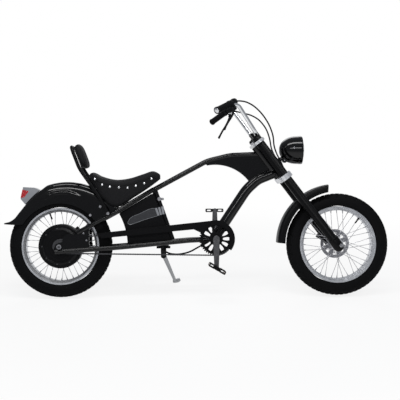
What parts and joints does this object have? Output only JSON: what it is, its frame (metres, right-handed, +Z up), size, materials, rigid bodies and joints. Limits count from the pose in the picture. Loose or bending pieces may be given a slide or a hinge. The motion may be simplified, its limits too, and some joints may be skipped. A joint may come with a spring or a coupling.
{
  "type": "electric chopper bicycle",
  "caption": "Low two-wheeled electric bicycle with a raked twin-clamp fork, tall handlebar, fat tyres, hub motor, backrest saddle and a side stand it leans on.",
  "frame": {"origin": "the floor under the rear wheel, on the line where the two tyres touch the floor", "axes": "+X forward, +Y to the bicycle's left, +Z up"},
  "size_m": [2.0919, 0.6827, 1.0715],
  "materials": {
    "frame_black": "gloss",
    "guard_black": "gloss",
    "fork_black": "satin",
    "clamp_silver": "satin",
    "chrome": "polished",
    "rim_silver": "satin",
    "tyre_rubber": "matte",
    "steel": "brushed",
    "motor_black": "satin",
    "hub_silver": "satin",
    "crank_black": "satin",
    "seat_leather": "matte",
    "case_black": "gloss",
    "lever_black": "satin",
    "grip_rubber": "matte",
    "lamp_glass": "clear",
    "lamp_red": "gloss"
  },
  "bodies": {
    "frame": {"head_tube": "frame_black", "top_tube": "frame_black", "down_tube": "frame_black", "frame_gusset": "frame_black", "seat_tube": "frame_black", "bottom_bracket_shell": "frame_black", "chainstays": "frame_black", "rear_stays": "frame_black", "rear_axle": "steel", "saddle": "seat_leather", "sissy_bar": "frame_black", "backrest_pad": "seat_leather", "rear_mudguard": "guard_black", "tail_lamp_housing": "chrome", "tail_lamp_lens": "lamp_red", "battery_case": "case_black", "battery_cable": "grip_rubber", "chain_guard": "frame_black", "chain": "steel", "rear_brake_caliper": "fork_black", "stand_bracket": "frame_black"},
    "fork": {"fork_crown": "clamp_silver", "upper_clamp": "clamp_silver", "fork_legs": "fork_black", "bar_clamps": "fork_black", "handlebar": "chrome", "grips": "grip_rubber", "brake_levers": "lever_black", "headlamp_shell": "chrome", "headlamp_lens": "lamp_glass", "front_mudguard": "guard_black", "front_axle": "steel", "front_brake_caliper": "fork_black", "front_brake_hose": "grip_rubber", "bar_cables": "grip_rubber"},
    "front_wheel": {"front_tyre": "tyre_rubber", "front_rim": "rim_silver", "front_spokes": "steel", "front_hub": "hub_silver", "front_brake_disc": "steel"},
    "rear_wheel": {"rear_tyre": "tyre_rubber", "rear_rim": "rim_silver", "rear_spokes": "steel", "hub_motor": "motor_black", "rear_brake_disc": "steel", "rear_sprocket": "steel"},
    "crankset": {"crank_arms": "crank_black", "chainring": "crank_black"},
    "right_pedal": {"pedal_right": "crank_black"},
    "left_pedal": {"pedal_left": "crank_black"},
    "side_stand": {"kickstand": "hub_silver"}
  },
  "joints": [
    {"name": "steering", "type": "hinge", "parent": "frame", "child": "fork", "pos_m": [1.13297, 0.14224, 0.71819], "axis": [-0.6018, 0.166, 0.7812], "range_deg": [-35, 35]},
    {"name": "front_wheel_spin", "type": "hinge", "parent": "fork", "child": "front_wheel", "pos_m": [1.512, 0.04803, 0.27495], "axis": [0, 0.9781, -0.2079], "continuous": true},
    {"name": "rear_wheel_spin", "type": "hinge", "parent": "frame", "child": "rear_wheel", "pos_m": [0, 0.04803, 0.27495], "axis": [0, 0.9781, -0.2079], "continuous": true},
    {"name": "crank_spin", "type": "hinge", "parent": "frame", "child": "crankset", "pos_m": [0.844, 0.05551, 0.31017], "axis": [0, 0.9781, -0.2079], "continuous": true},
    {"name": "right_pedal_spin", "type": "hinge", "parent": "crankset", "child": "right_pedal", "pos_m": [0.844, -0.12477, 0.19309], "axis": [0, 0.9781, -0.2079], "continuous": true},
    {"name": "left_pedal_spin", "type": "hinge", "parent": "crankset", "child": "left_pedal", "pos_m": [0.844, 0.23579, 0.42724], "axis": [0, 0.9781, -0.2079], "continuous": true},
    {"name": "stand_fold", "type": "hinge", "parent": "frame", "child": "side_stand", "pos_m": [0.556, 0.11855, 0.20271], "axis": [0, 0.9278, 0.3732], "range_deg": [0, 95]}
  ]
}
